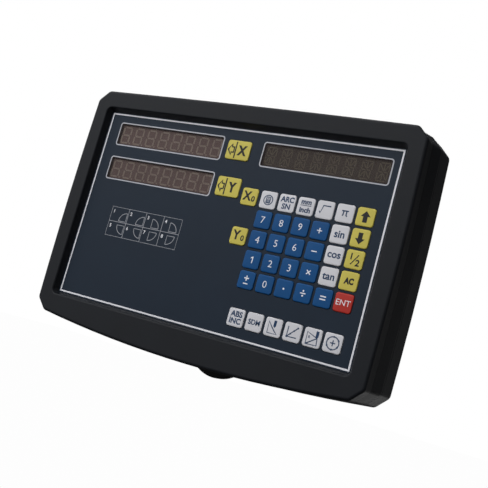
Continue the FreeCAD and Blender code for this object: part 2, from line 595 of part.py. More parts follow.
def make_power_inlet():
    """Mains inlet with three blades in its mouth and a slot below for the fuse drawer."""
    z = z_at(SOCKET_V)
    back = CASE_DEPTH + INLET_RIM_T
    rim = pad(INLET_W + 2 * INLET_RIM, INLET_H + 2 * INLET_RIM, 2.5, CASE_DEPTH, back, INLET_X, z)
    body = block(INLET_X - INLET_W / 2, INLET_X + INLET_W / 2, back - INLET_RIM_T - INLET_BODY_L, CASE_DEPTH,
                 z - INLET_H / 2, z + INLET_H / 2)
    slot = block(INLET_X - DRAWER_W / 2 - DRAWER_CLEARANCE, INLET_X + DRAWER_W / 2 + DRAWER_CLEARANCE,
                 back - DRAWER_L - DRAWER_CLEARANCE, back + 1,
                 z + DRAWER_V - DRAWER_H / 2 - DRAWER_CLEARANCE, z + DRAWER_V + DRAWER_H / 2 + DRAWER_CLEARANCE)
    shell = rim.fuse(body).cut([inlet_mouth(back - INLET_MOUTH_L, back + 1), slot]).removeSplitter()
    blades = []
    for dx, dz in ((-7.0, -1.5), (7.0, -1.5), (0.0, 2.5)):
        x, zz = INLET_X + dx, z + INLET_MOUTH_V + dz
        blades.append(block(x - 1.0, x + 1.0, back - INLET_MOUTH_L, back - INLET_PIN_BACK, zz - 2.0, zz + 2.0))
    return solid_of([shell] + blades)


def make_fuse_drawer():
    z = z_at(SOCKET_V) + DRAWER_V
    back = CASE_DEPTH + INLET_RIM_T
    tray = block(INLET_X - DRAWER_W / 2, INLET_X + DRAWER_W / 2, back - DRAWER_L, back + DRAWER_PROUD,
                 z - DRAWER_H / 2, z + DRAWER_H / 2)
    fuse_bed = block(INLET_X - DRAWER_W / 2 + 1.5, INLET_X + DRAWER_W / 2 - 1.5, back - DRAWER_L + 1.5, back - 2.5,
                     z - DRAWER_H / 2 + 1.5, z + DRAWER_H / 2 + 1)
    notch = block(INLET_X - 3.0, INLET_X + 3.0, back - 0.4, back + DRAWER_PROUD + 1,
                  z + DRAWER_H / 2 - 2.0, z + DRAWER_H / 2 + 1)
    fuse = cross_rod(2.4, INLET_X - 8.5, INLET_X + 8.5, y_at(back - DRAWER_L / 2 - 1.0), z - DRAWER_H / 2 + 1.5 + 2.4)
    return solid_of([tray.cut([fuse_bed, notch]), fuse])


def rocker_cavity():
    z = z_at(SOCKET_V)
    return block(SWITCH_X - ROCKER_W / 2 - ROCKER_CLEARANCE, SWITCH_X + ROCKER_W / 2 + ROCKER_CLEARANCE,
                 CASE_DEPTH - 8.0, CASE_DEPTH + 10, z - ROCKER_H / 2 - ROCKER_CLEARANCE, z + ROCKER_H / 2 + ROCKER_CLEARANCE)


def make_switch_body():
    z = z_at(SOCKET_V)
    rim = pad(ROCKER_FRAME_W, ROCKER_FRAME_H, 1.2, CASE_DEPTH, CASE_DEPTH + 2.0, SWITCH_X, z)
    body = block(SWITCH_X - ROCKER_BODY_W / 2, SWITCH_X + ROCKER_BODY_W / 2, CASE_DEPTH - ROCKER_BODY_L, CASE_DEPTH,
                 z - ROCKER_BODY_H / 2, z + ROCKER_BODY_H / 2)
    axle = cross_rod(ROCKER_PIN_R, SWITCH_X - ROCKER_W / 2 - 1, SWITCH_X + ROCKER_W / 2 + 1, y_at(CASE_DEPTH - 1.0), z)
    tags = [block(SWITCH_X - 3, SWITCH_X + 3, CASE_DEPTH - ROCKER_BODY_L - 7, CASE_DEPTH - ROCKER_BODY_L,
                  z + s * 6 - 0.4, z + s * 6 + 0.4) for s in (-1, 1)]
    return rim.fuse(body).cut(rocker_cavity()).fuse([axle] + tags).removeSplitter()


def make_switch_rocker():
    """Two-faced rocker on a cross axle, tipped to its off side at rest."""
    z = z_at(SOCKET_V)
    y = y_at(CASE_DEPTH - 1.0)
    half = ROCKER_H / 2 - 0.5
    points = [V(SWITCH_X - ROCKER_W / 2, y + 3.6, z - half), V(SWITCH_X - ROCKER_W / 2, y + 2.2, z),
              V(SWITCH_X - ROCKER_W / 2, y + 3.6, z + half), V(SWITCH_X - ROCKER_W / 2, y - 1.0, z + half),
              V(SWITCH_X - ROCKER_W / 2, y - 3.0, z), V(SWITCH_X - ROCKER_W / 2, y - 1.0, z - half)]
    rocker = Part.Face(Part.makePolygon(points + points[:1])).extrude(V(ROCKER_W, 0, 0))
    rocker = rocker.cut(cross_rod(ROCKER_PIN_R + 0.08, SWITCH_X - ROCKER_W, SWITCH_X + ROCKER_W, y, z))
    rocker.rotate(V(SWITCH_X, y, z), V(1, 0, 0), ROCKER_TILT)
    return rocker


def make_ground_terminal():
    """Brass earth post with two nuts clamping the rear wall."""
    x, z = GROUND_X, z_at(GROUND_V)
    stud = rod(GROUND_R, SHELL_FLOOR - 4, CASE_DEPTH + 9, x, z)
    inner = hex_bar(7.0, V(x, y_at(SHELL_FLOOR - 3), z), V(0, 1, 0), 3.0)
    outer = hex_bar(7.0, V(x, y_at(CASE_DEPTH), z), V(0, 1, 0), 3.0)
    thumb = rod(4.5, CASE_DEPTH + 3.2, CASE_DEPTH + 7.2, x, z)
    return stud.fuse([inner, outer]).fuse(thumb).removeSplitter()


# ================================================================ arm mount
def make_mount_plate():
    """Cast plate screwed into the rear pocket, with two ears for the tilt bolt."""
    floor = POCKET_DEPTH
    plate = pad(2 * PLATE_HALF_W, PLATE_TOP - PLATE_BOTTOM, 5.0, floor, floor + PLATE_T,
                0, (PLATE_TOP + PLATE_BOTTOM) / 2)
    inner = KNUCKLE_HALF_W + EAR_CLEARANCE
    ears = []
    for s in (-1, 1):
        x0, x1 = sorted((s * inner, s * (inner + EAR_T)))
        web = Part.makeBox(x1 - x0, PIVOT_Y - y_at(floor + PLATE_T), 2 * EAR_R, V(x0, y_at(floor + PLATE_T), -EAR_R))
        ears += [web, cross_rod(EAR_R, x0, x1)]
    body = plate.fuse(ears).removeSplitter()
    reach = inner + EAR_T
    cuts = [cross_rod(PIVOT_BOLT_R + PIVOT_CLEARANCE, -reach - 1, reach + 1)]
    cuts.append(hex_bar(HEX_ACROSS_FLATS + 2 * HEX_CLEARANCE, V(-reach - 1, PIVOT_Y, 0), V(1, 0, 0), HEX_SEAT + 1))
    for x, z in plate_screws():
        cuts.append(rod(SMALL_SCREW_R + 2 * SCREW_CLEARANCE, floor - 1, floor + PLATE_T + 1, x, z))
        cuts.append(countersink(x, z, SCREW_CLEARANCE))
    return body.cut(cuts)


def countersink(x, z, clearance):
    """Cone of a flat-headed screw whose head is flush with the mount plate."""
    top = POCKET_DEPTH + PLATE_T
    return Part.makeCone(SMALL_SCREW_R + clearance, SMALL_HEAD_R + clearance, SMALL_HEAD_T,
                         V(x, y_at(top - SMALL_HEAD_T), z), V(0, 1, 0))


def make_arm_flange():
    """Round flange with the knuckle that the console tilts on."""
    flange = Part.makeCylinder(FLANGE_R, FLANGE_T, V(0, -FLANGE_T, 0), V(0, 1, 0))
    flange = flange.makeFillet(1.5, [e for e in flange.Edges if e.Curve.TypeId == "Part::GeomCircle"
                                     and abs(e.CenterOfMass.y + FLANGE_T) < 1e-6])
    barrel = cross_rod(KNUCKLE_R, -KNUCKLE_HALF_W, KNUCKLE_HALF_W)
    neck = Part.makeBox(2 * KNUCKLE_HALF_W, PIVOT_BACK - FLANGE_T / 2, 2 * KNUCKLE_R,
                        V(-KNUCKLE_HALF_W, PIVOT_Y, -KNUCKLE_R))
    body = flange.fuse([barrel, neck]).removeSplitter()
    cuts = [cross_rod(PIVOT_BOLT_R + PIVOT_CLEARANCE, -2 * KNUCKLE_HALF_W, 2 * KNUCKLE_HALF_W)]
    for k in range(FLANGE_HOLES):
        a = 2 * math.pi * (k + 0.5) / FLANGE_HOLES
        x, z = FLANGE_PCD / 2 * math.sin(a), FLANGE_PCD / 2 * math.cos(a)
        cuts.append(Part.makeCylinder(FLANGE_HOLE_R, FLANGE_T + 2, V(x, -FLANGE_T - 1, z), V(0, 1, 0)))
    return body.cut(cuts)


def make_pivot_bolt():
    """Six-sided head seated in the left ear, shank through both ears and out into the knob."""
    reach = KNUCKLE_HALF_W + EAR_CLEARANCE + EAR_T
    head = hex_bar(HEX_ACROSS_FLATS, V(-reach + HEX_SEAT - HEX_HEAD_T, PIVOT_Y, 0), V(1, 0, 0), HEX_HEAD_T)
    shank = cross_rod(PIVOT_BOLT_R, -reach + HEX_SEAT, reach + WASHER_T + KNOB_T - 3)
    washer = cross_rod(WASHER_R, reach, reach + WASHER_T)
    return solid_of([head.fuse(shank).removeSplitter(),
                     washer.cut(cross_rod(PIVOT_BOLT_R + PIVOT_CLEARANCE, reach - 1, reach + WASHER_T + 1))])


def make_clamp_knob():
    """Lobed hand knob that draws the ears onto the knuckle."""
    start = KNUCKLE_HALF_W + EAR_CLEARANCE + EAR_T + WASHER_T + 0.1
    body = cross_rod(KNOB_R, start + 4, start + KNOB_T)
    hub = Part.makeCone(KNOB_R * 0.55, KNOB_R * 0.8, 4.0, V(start, PIVOT_Y, 0), V(1, 0, 0))
    scallops = []
    for k in range(KNOB_LOBES):
        a = 2 * math.pi * k / KNOB_LOBES
        r = KNOB_R + KNOB_LOBE_CUT_R * 0.45
        scallops.append(cross_rod(KNOB_LOBE_CUT_R, start - 1, start + KNOB_T + 1,
                                  PIVOT_Y + r * math.sin(a), r * math.cos(a)))
    knob = body.cut(scallops)
    knob = knob.makeFillet(1.2, [e for e in knob.Edges if abs(e.BoundBox.XMin - start - KNOB_T) < 1e-3
                                 and abs(e.BoundBox.XMax - start - KNOB_T) < 1e-3])
    return knob.fuse(hub).cut(cross_rod(PIVOT_BOLT_R + PIVOT_CLEARANCE, start - 1, start + KNOB_T - 2.5))


# ================================================================ screws
def pan_screw(radius, head_r, head_t, length, x, z, seat):
    """Pan-headed screw driven forwards, its head's underside at that depth, with a cross recess."""
    shank = rod(radius, seat - length, seat, x, z)
    head = rod(head_r, seat, seat + head_t, x, z)
    head = head.makeFillet(head_t * 0.45, [e for e in head.Edges if e.Curve.TypeId == "Part::GeomCircle"
                                           and abs(e.CenterOfMass.y - y_at(seat + head_t)) < 1e-6])
    arm, slot = head_r * 0.6, head_r * 0.16
    cross = block(x - arm, x + arm, seat + head_t * 0.45, seat + head_t + 1, z - slot, z + slot)
    cross = cross.fuse(block(x - slot, x + slot, seat + head_t * 0.45, seat + head_t + 1, z - arm, z + arm))
    return shank.fuse(head).cut(cross).removeSplitter()


def make_case_screws():
    return solid_of([pan_screw(CASE_SCREW_R, CASE_HEAD_R, CASE_HEAD_T, CASE_SCREW_L, x, z_at(v), POST_FLOOR)
                     for x, v in CASE_SCREWS])


def make_inner_screws():
    """Board screws, and the flat-headed screws that hold the mount plate."""
    screws = [pan_screw(SMALL_SCREW_R, SMALL_HEAD_R, SMALL_HEAD_T, SMALL_SCREW_L, x, z_at(v), BOARD_BACK)
              for x, v in BOARD_SCREWS]
    for x, z in power_screws():
        screw = pan_screw(SMALL_SCREW_R, SMALL_HEAD_R, SMALL_HEAD_T, SMALL_SCREW_L - 1.0, 0, 0, 0)
        screw.rotate(V(0, PANEL_Y, 0), V(0, 0, 1), 180)
        screw.translate(V(x, POWER_BOARD_DEPTH, z))
        screws.append(screw)
    for x, z in plate_screws():
        shank = rod(SMALL_SCREW_R, POCKET_DEPTH - WALL - 1.5, POCKET_DEPTH + PLATE_T - SMALL_HEAD_T, x, z)
        screws.append(shank.fuse(countersink(x, z, 0.0)).removeSplitter())
    return solid_of(screws)


# ================================================================ write every node
def main():
    os.makedirs("parts", exist_ok=True)
    nodes = {
        "front_bezel": make_front_bezel(),
        "front_overlay": make_front_overlay(),
        "display_windows": make_display_windows(),
        "digit_modules": make_digit_modules(),
        "key_switches": make_key_switches(),
        "main_board": make_main_board(),
        "rear_shell": make_rear_shell(),
        "power_supply": make_power_supply(),
        "scale_sockets": make_scale_sockets(),
        "power_inlet": make_power_inlet(),
        "fuse_drawer": make_fuse_drawer(),
        "switch_body": make_switch_body(),
        "switch_rocker": make_switch_rocker(),
        "ground_terminal": make_ground_terminal(),
        "mount_plate": make_mount_plate(),
        "arm_flange": make_arm_flange(),
        "pivot_bolt": make_pivot_bolt(),
        "clamp_knob": make_clamp_knob(),
        "case_screws": make_case_screws(),
        "inner_screws": make_inner_screws(),
    }
    for name, place in key_places().items():
        nodes[name] = make_key(*place)
    for name, shape in nodes.items():
        shape.exportStep("parts/%s.step" % name)
        solids = shape.Solids
        print("%-18s solids %2d  volume %9.1f  valid %s"
              % (name, len(solids), sum(s.Volume for s in solids), all(s.isValid() for s in solids)))


main()
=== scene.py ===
"""Two-axis digital readout console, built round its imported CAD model: studio and camera, black case,
printed overlay, smoked windows with their digits, forty key caps, rear fittings and tilting arm mount.
Metres, +X to the user's right, +Y away from the user, +Z up."""

import math

import bpy
from mathutils import Matrix, Quaternion, Vector


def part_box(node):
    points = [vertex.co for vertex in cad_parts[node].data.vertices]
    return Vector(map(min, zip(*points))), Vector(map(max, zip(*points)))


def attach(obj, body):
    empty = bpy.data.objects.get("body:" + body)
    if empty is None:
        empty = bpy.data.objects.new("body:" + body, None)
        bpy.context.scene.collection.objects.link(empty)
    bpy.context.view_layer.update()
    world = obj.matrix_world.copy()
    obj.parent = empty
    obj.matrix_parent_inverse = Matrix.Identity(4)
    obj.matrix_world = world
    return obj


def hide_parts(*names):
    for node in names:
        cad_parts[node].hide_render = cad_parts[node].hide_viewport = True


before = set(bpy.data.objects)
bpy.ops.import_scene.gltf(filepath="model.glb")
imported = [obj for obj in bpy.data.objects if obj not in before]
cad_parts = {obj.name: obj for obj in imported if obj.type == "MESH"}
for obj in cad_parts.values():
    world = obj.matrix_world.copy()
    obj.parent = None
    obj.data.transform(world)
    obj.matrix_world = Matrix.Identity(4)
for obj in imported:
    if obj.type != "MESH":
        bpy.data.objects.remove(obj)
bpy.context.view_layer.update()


# ---------------------------------------------------------------- studio and camera
# A pale floor and a pale backdrop all round, which only the camera sees, so that they cast no glare on
# black plastic. Soft light comes from a sky that is brightest up on the left in front, a large lamp on the
# same side that lights colours without glare, two weak lamps on the right, and one that lights the rear.
FLOOR_Z = -0.32
FLOOR_SIZE = 9.0
BACKDROP_R = 6.0
panel_low, panel_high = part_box("front_overlay")
panel_y = panel_low.y
panel_mid = Vector((0.0, panel_y, (panel_low.z + panel_high.z) / 2))


def pale_stage(obj, name, shade):
    paint = bpy.data.materials.new(name)
    paint.use_nodes = True
    glow = paint.node_tree.nodes["Principled BSDF"]
    glow.inputs["Base Color"].default_value = (0.0, 0.0, 0.0, 1.0)
    glow.inputs["Specular IOR Level"].default_value = 0.0
    glow.inputs["Emission Color"].default_value = (shade, shade, shade, 1.0)
    glow.inputs["Emission Strength"].default_value = 1.0
    obj.data.materials.append(paint)
    obj.visible_diffuse = False
    obj.visible_glossy = False
    obj.visible_transmission = False
    obj.visible_shadow = False


bpy.ops.object.select_all(action="DESELECT")
bpy.ops.mesh.primitive_plane_add(size=FLOOR_SIZE, location=(0, 0, FLOOR_Z))
bpy.context.object.name = "studio_floor"
pale_stage(bpy.context.object, "pale_floor", 0.985)
bpy.ops.mesh.primitive_uv_sphere_add(segments=48, ring_count=24, radius=BACKDROP_R, location=(0, 0, 0))
bpy.context.object.name = "studio_backdrop"
pale_stage(bpy.context.object, "pale_backdrop", 1.0)

sky = bpy.data.worlds.new("studio_sky")
sky.use_nodes = True
bpy.context.scene.world = sky
sky_nodes, sky_links = sky.node_tree.nodes, sky.node_tree.links
sky_direction = sky_nodes.new("ShaderNodeTexCoord")
toward_window = sky_nodes.new("ShaderNodeVectorMath")
toward_window.operation = "DOT_PRODUCT"
toward_window.inputs[1].default_value = (-0.50, -0.45, 0.74)
sky_spread = sky_nodes.new("ShaderNodeMapRange")
sky_spread.inputs["From Min"].default_value = -1.0
sky_shade = sky_nodes.new("ShaderNodeValToRGB")
for place, glow in ((0.50, 0.05), (0.70, 0.20), (0.82, 0.34), (0.92, 0.85)):
    stop = sky_shade.color_ramp.elements.new(place)
    stop.color = (glow, glow, glow * 1.03, 1.0)
sky_shade.color_ramp.elements[0].color = (0.035, 0.035, 0.036, 1.0)
sky_shade.color_ramp.elements[5].color = (1.0, 1.0, 1.0, 1.0)
sky_links.new(sky_direction.outputs["Generated"], toward_window.inputs[0])
sky_links.new(toward_window.outputs["Value"], sky_spread.inputs["Value"])
sky_links.new(sky_spread.outputs["Result"], sky_shade.inputs["Fac"])
sky_links.new(sky_shade.outputs["Color"], sky_nodes["Background"].inputs["Color"])


def soft_lamp(name, offset, width, height, watts, glossy=True):
    lamp = bpy.data.lights.new(name, "AREA")
    lamp.shape = "RECTANGLE"
    lamp.size = width
    lamp.size_y = height
    lamp.energy = watts
    holder = bpy.data.objects.new(name, lamp)
    holder.location = panel_mid + Vector(offset)
    holder.rotation_euler = (-Vector(offset)).to_track_quat("-Z", "Y").to_euler()
    holder.visible_glossy = glossy
    bpy.context.scene.collection.objects.link(holder)


soft_lamp("lamp_front", (-0.7, -1.4, 0.9), 1.2, 1.0, 22.0, glossy=False)
soft_lamp("lamp_low_right", (0.6, 1.0, -0.8), 0.5, 0.4, 1.5)
soft_lamp("lamp_right", (1.3, 1.0, -0.1), 0.9, 0.9, 0.6)
soft_lamp("lamp_behind", (-0.7, 1.4, 0.9), 1.1, 1.1, 26.0)

camera_data = bpy.data.cameras.new("camera")
camera_data.sensor_width = 36.0
camera_data.lens = 56.34
camera = bpy.data.objects.new("camera", camera_data)
bpy.context.scene.collection.objects.link(camera)
bpy.context.scene.camera = camera
view_round, view_up, view_roll = math.radians(28.67), math.radians(-6.75), math.radians(15.58)
view_line = Vector((-math.sin(view_round) * math.cos(view_up), math.cos(view_round) * math.cos(view_up),
                    -math.sin(view_up)))
camera.location = panel_mid + Vector((0.2940, -0.4894, -0.0748))
camera.rotation_mode = "QUATERNION"
camera.rotation_quaternion = view_line.to_track_quat("-Z", "Y") @ Quaternion((0, 0, 1), view_roll)
bpy.context.scene.view_settings.view_transform = "Standard"


# ---------------------------------------------------------------- case
# Two halves of black ABS, injection moulded in a tool with a fine spark-eroded grain, joined at the
# parting line by a tongue and six screws.
MM = 0.001


def grained(name, colour, roughness, grain, depth, cloud=0.10, shine=0.5):
    """A moulded, painted or printed finish: slightly uneven colour and gloss, and a fine raised grain."""
    finish = bpy.data.materials.new(name)
    finish.use_nodes = True
    nodes, links = finish.node_tree.nodes, finish.node_tree.links
    shader = nodes["Principled BSDF"]
    shader.inputs["Specular IOR Level"].default_value = shine
    place = nodes.new("ShaderNodeTexCoord")
    clouds = nodes.new("ShaderNodeTexNoise")
    clouds.inputs["Scale"].default_value = 38.0
    clouds.inputs["Detail"].default_value = 4.0
    links.new(place.outputs["Object"], clouds.inputs["Vector"])
    tint = nodes.new("ShaderNodeValToRGB")
    tint.color_ramp.elements[0].position = 0.3
    tint.color_ramp.elements[0].color = [c * (1 - cloud) for c in colour] + [1.0]
    tint.color_ramp.elements[1].position = 0.7
    tint.color_ramp.elements[1].color = [c * (1 + cloud) for c in colour] + [1.0]
    links.new(clouds.outputs["Fac"], tint.inputs["Fac"])
    links.new(tint.outputs["Color"], shader.inputs["Base Color"])
    gloss = nodes.new("ShaderNodeMapRange")
    gloss.inputs["From Min"].default_value = 0.3
    gloss.inputs["From Max"].default_value = 0.7
    gloss.inputs["To Min"].default_value = roughness - 0.04
    gloss.inputs["To Max"].default_value = roughness + 0.04
    links.new(clouds.outputs["Fac"], gloss.inputs["Value"])
    links.new(gloss.outputs["Result"], shader.inputs["Roughness"])
    pores = nodes.new("ShaderNodeTexNoise")
    pores.inputs["Scale"].default_value = 1.0 / grain
    pores.inputs["Detail"].default_value = 2.0
    links.new(place.outputs["Object"], pores.inputs["Vector"])
    relief = nodes.new("ShaderNodeBump")
    relief.inputs["Strength"].default_value = 1.0
    relief.inputs["Distance"].default_value = depth
    links.new(pores.outputs["Fac"], relief.inputs["Height"])
    links.new(relief.outputs["Normal"], shader.inputs["Normal"])
    return finish


def finish_nodes(finish, *nodes):
    for node in nodes:
        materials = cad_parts[node].data.materials
        materials.clear()
        materials.append(finish)


black_abs = grained("black_abs", (0.0074, 0.0090, 0.0118), 0.46, 0.55 * MM, 0.035 * MM, shine=0.4)
finish_nodes(black_abs, "front_bezel", "rear_shell")


# ---------------------------------------------------------------- printed overlay
# One sheet of polyester film, dark blue-grey from behind, with white ink on it: the border line, an
# outline round each window and the small diagram of the eight arc directions.
overlay_film = grained("overlay_film", (0.0110, 0.0195, 0.0330), 0.42, 0.30 * MM, 0.006 * MM, cloud=0.05,
                       shine=0.3)
finish_nodes(overlay_film, "front_overlay")
white_ink = grained("white_ink", (0.76, 0.76, 0.80), 0.5, 0.20 * MM, 0.004 * MM, cloud=0.03)
pale_ink = grained("pale_ink", (0.44, 0.45, 0.49), 0.5, 0.20 * MM, 0.004 * MM, cloud=0.03)
grey_ink = grained("grey_ink", (0.34, 0.35, 0.38), 0.5, 0.20 * MM, 0.004 * MM, cloud=0.03)
INK = 0.03 * MM
BORDER_INSET = 1.5 * MM
BORDER_WIDTH = 1.7 * MM
BORDER_SHIFT = 0.3 * MM    # the print sits this far to the right of the sheet's middle
OUTLINE_WIDTH = 0.95 * MM


def settle(piece):
    """Puts a piece's place, turn and scale into its mesh."""
    bpy.ops.object.select_all(action="DESELECT")
    piece.select_set(True)
    bpy.context.view_layer.objects.active = piece
    bpy.ops.object.transform_apply(location=True, rotation=True, scale=True)


def ink_lines(name, lines, width, y, ink, body):
    """Printed strokes: each line is (closed, [(x, z), ...]), laid as a flat ribbon on the face at y."""
    pen = bpy.data.curves.new(name, "CURVE")
    pen.dimensions = "3D"
    pen.bevel_depth = width / 2
    pen.bevel_resolution = 2
    pen.use_fill_caps = True
    for closed, points in lines:
        stroke = pen.splines.new("POLY")
        stroke.points.add(len(points) - 1)
        for point, (x, z) in zip(stroke.points, points):
            point.co = (x, y, z, 1.0)
        stroke.use_cyclic_u = closed
    piece = bpy.data.objects.new(name, pen)
    bpy.context.scene.collection.objects.link(piece)
    bpy.ops.object.select_all(action="DESELECT")
    piece.select_set(True)
    bpy.context.view_layer.objects.active = piece
    bpy.ops.object.convert(target="MESH")
    piece = bpy.context.object
    bpy.ops.object.shade_flat()
    bpy.ops.object.mode_set(mode="EDIT")
    bpy.ops.mesh.select_all(action="SELECT")
    bpy.ops.transform.resize(value=(1, 2 * INK / width, 1), center_override=(0, y, 0))
    bpy.ops.object.mode_set(mode="OBJECT")
    piece.data.materials.clear()
    piece.data.materials.append(ink)
    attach(piece, body)
    return piece


def arc_points(x, z, radius, start, end, steps=10):
    turns = [math.radians(start + (end - start) * k / steps) for k in range(steps + 1)]
    return [(x + radius * math.cos(a), z + radius * math.sin(a)) for a in turns]


def box_line(x0, x1, z0, z1, radius):
    """Closed rectangle with rounded corners."""
    points = []
    for x, z, start in ((x1 - radius, z1 - radius, 0), (x0 + radius, z1 - radius, 90),
                        (x0 + radius, z0 + radius, 180), (x1 - radius, z0 + radius, 270)):
        points += arc_points(x, z, radius, start, start + 90, 6)
    return True, points


line_x = panel_high.x - BORDER_INSET
line_low, line_high = panel_low.z + BORDER_INSET, panel_high.z - BORDER_INSET
corners = [(-line_x, line_low), (line_x, line_low), (line_x, line_high), (-line_x, line_high)]
border = ink_lines("border_line", [(True, corners)], BORDER_WIDTH, panel_y, white_ink, "console")
border.data.transform(Matrix.Translation((BORDER_SHIFT, 0, 0)))

WINDOW_W, WINDOW_H = 100.4 * MM, 17.8 * MM
windows_low, windows_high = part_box("display_windows")
windows = {
    "x": Vector((windows_low.x + WINDOW_W / 2, 0, windows_high.z - WINDOW_H / 2)),
    "y": Vector((windows_low.x + WINDOW_W / 2, 0, windows_low.z + WINDOW_H / 2)),
    "message": Vector((windows_high.x - WINDOW_W / 2, 0, windows_high.z - WINDOW_H / 2)),
}
OUTLINE_GAP = 0.55 * MM
outlines = []
for mid in windows.values():
    reach_x, reach_z = WINDOW_W / 2 + OUTLINE_GAP, WINDOW_H / 2 + OUTLINE_GAP
    outlines.append(box_line(mid.x - reach_x, mid.x + reach_x, mid.z - reach_z, mid.z + reach_z, 1.9 * MM))
ink_lines("window_outlines", outlines, OUTLINE_WIDTH, panel_y, pale_ink, "console")


def ink_text(name, text, x, z, height, y, ink, body, weight=0.0, squeeze=1.0, turn=0.0):
    """Printed letters of that capital height, centred on (x, z), facing the user, or the rear when turned
    round. They are set at a large size first, so that their thin strokes fill cleanly."""
    bpy.ops.object.select_all(action="DESELECT")
    bpy.ops.object.text_add(location=(0, 0, 0), rotation=(math.pi / 2, 0, turn))
    letters = bpy.context.object
    letters.data.body = text
    letters.data.size = 1.0
    letters.data.offset = weight
    letters.data.extrude = 0.02
    letters.data.resolution_u = 4
    bpy.ops.object.convert(target="MESH")
    piece = bpy.context.object
    piece.name = name
    grow = height / 0.70
    piece.scale = (grow * squeeze, grow, INK / 0.02)
    settle(piece)
    xs = [v.co.x for v in piece.data.vertices]
    zs = [v.co.z for v in piece.data.vertices]
    piece.location = (x - (min(xs) + max(xs)) / 2, y, z - (min(zs) + max(zs)) / 2)
    settle(piece)
    piece.data.materials.clear()
    piece.data.materials.append(ink)
    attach(piece, body)
    return piece


CELL_W, CELL_H = 17.2 * MM, 12.0 * MM
diagram_x, diagram_z = windows["x"].x, panel_mid.z - 12.4 * MM
left, base = diagram_x - 2 * CELL_W, diagram_z - CELL_H
grid = [(True, [(left, base), (left + 4 * CELL_W, base), (left + 4 * CELL_W, base + 2 * CELL_H),
                (left, base + 2 * CELL_H)]),
        (False, [(left, diagram_z), (left + 4 * CELL_W, diagram_z)])]
for k in (1, 2, 3):
    grid.append((False, [(left + k * CELL_W, base), (left + k * CELL_W, base + 2 * CELL_H)]))
ink_lines("arc_diagram_grid", grid, 0.42 * MM, panel_y, grey_ink, "console")
arcs, number = [], 0
ARC_R = 7.0 * MM
for row in (1, 0):
    for column in range(4):
        number += 1
        facing_left = column < 2
        turn = (90 if facing_left else 0) if row else (180 if facing_left else 270)
        corner_x = left + (column + (0.94 if facing_left else 0.42)) * CELL_W
        corner_z = base + row * CELL_H + (1.0 * MM if row else CELL_H - 2.4 * MM)
        arcs.append((False, arc_points(corner_x, corner_z, ARC_R, turn, turn + 90)))
        reach = -ARC_R if facing_left else ARC_R
        rise = ARC_R if row else -ARC_R
        arcs.append((False, [(corner_x + reach, corner_z), (corner_x, corner_z),
                             (corner_x, corner_z + rise)]))
        ink_text("arc_number_%d" % number, str(number), left + column * CELL_W + 2.6 * MM,
                 base + (row + 1) * CELL_H - 3.6 * MM, 2.7 * MM, panel_y, white_ink, "console", 0.02)
ink_lines("arc_diagram_arcs", arcs, 0.5 * MM, panel_y, grey_ink, "console")


# ---------------------------------------------------------------- windows and digits
# Brown smoked acrylic, flush with the overlay. Close behind it the digit modules carry a diffuser with
# pale unlit bars, modelled here: seven bars and a point to each digit of the axis windows, fourteen finer
# bars in the message window.
smoked_acrylic = bpy.data.materials.new("smoked_acrylic")
smoked_acrylic.use_nodes = True
smoke_nodes, smoke_links = smoked_acrylic.node_tree.nodes, smoked_acrylic.node_tree.links
smoke = smoke_nodes["Principled BSDF"]
smoke.inputs["Base Color"].default_value = (0.064, 0.048, 0.044, 1.0)
smoke.inputs["Alpha"].default_value = 0.3
smoke.inputs["IOR"].default_value = 1.49
smoke.inputs["Specular IOR Level"].default_value = 0.3
smoke_place = smoke_nodes.new("ShaderNodeTexCoord")
smoke_haze = smoke_nodes.new("ShaderNodeTexNoise")
smoke_haze.inputs["Scale"].default_value = 60.0
smoke_haze.inputs["Detail"].default_value = 3.0
smoke_gloss = smoke_nodes.new("ShaderNodeMapRange")
smoke_gloss.inputs["To Min"].default_value = 0.10
smoke_gloss.inputs["To Max"].default_value = 0.22
smoke_links.new(smoke_place.outputs["Object"], smoke_haze.inputs["Vector"])
smoke_links.new(smoke_haze.outputs["Fac"], smoke_gloss.inputs["Value"])
smoke_links.new(smoke_gloss.outputs["Result"], smoke.inputs["Roughness"])
finish_nodes(smoked_acrylic, "display_windows")
module_face = grained("module_face", (0.275, 0.185, 0.170), 0.6, 0.4 * MM, 0.01 * MM)
face_nodes, face_links = module_face.node_tree.nodes, module_face.node_tree.links
face_place = face_nodes.new("ShaderNodeTexCoord")
face_axes = face_nodes.new("ShaderNodeSeparateXYZ")
# The modules behind the message window, right of the middle, have darker faces.
on_right = face_nodes.new("ShaderNodeMath")
on_right.operation = "GREATER_THAN"
on_right.inputs[1].default_value = 0.0
darken = face_nodes.new("ShaderNodeMix")
darken.data_type = "RGBA"
darken.blend_type = "MULTIPLY"
darken.inputs["B"].default_value = (0.27, 0.34, 0.29, 1.0)
face_tint = face_nodes["Color Ramp"]
face_links.new(face_place.outputs["Object"], face_axes.inputs["Vector"])
face_links.new(face_axes.outputs["X"], on_right.inputs[0])
face_links.new(on_right.outputs["Value"], darken.inputs["Factor"])
face_links.new(face_tint.outputs["Color"], darken.inputs["A"])
face_links.new(darken.outputs["Result"], face_nodes["Principled BSDF"].inputs["Base Color"])
finish_nodes(module_face, "digit_modules")
milky_bar = grained("milky_bar", (0.50, 0.41, 0.34), 0.5, 0.3 * MM, 0.004 * MM)
dull_bar = grained("dull_bar", (0.17, 0.15, 0.10), 0.5, 0.3 * MM, 0.004 * MM)

modules_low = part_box("digit_modules")[0]
DIGITS = 8
MIDDLE_DIGIT = (DIGITS - 1) / 2
BAR_RISE = 0.10 * MM
DIGIT_PITCH = 12.65 * MM
DIGIT_W, DIGIT_H = 7.4 * MM, 13.2 * MM
DIGIT_LEAN = math.tan(math.radians(5.0))


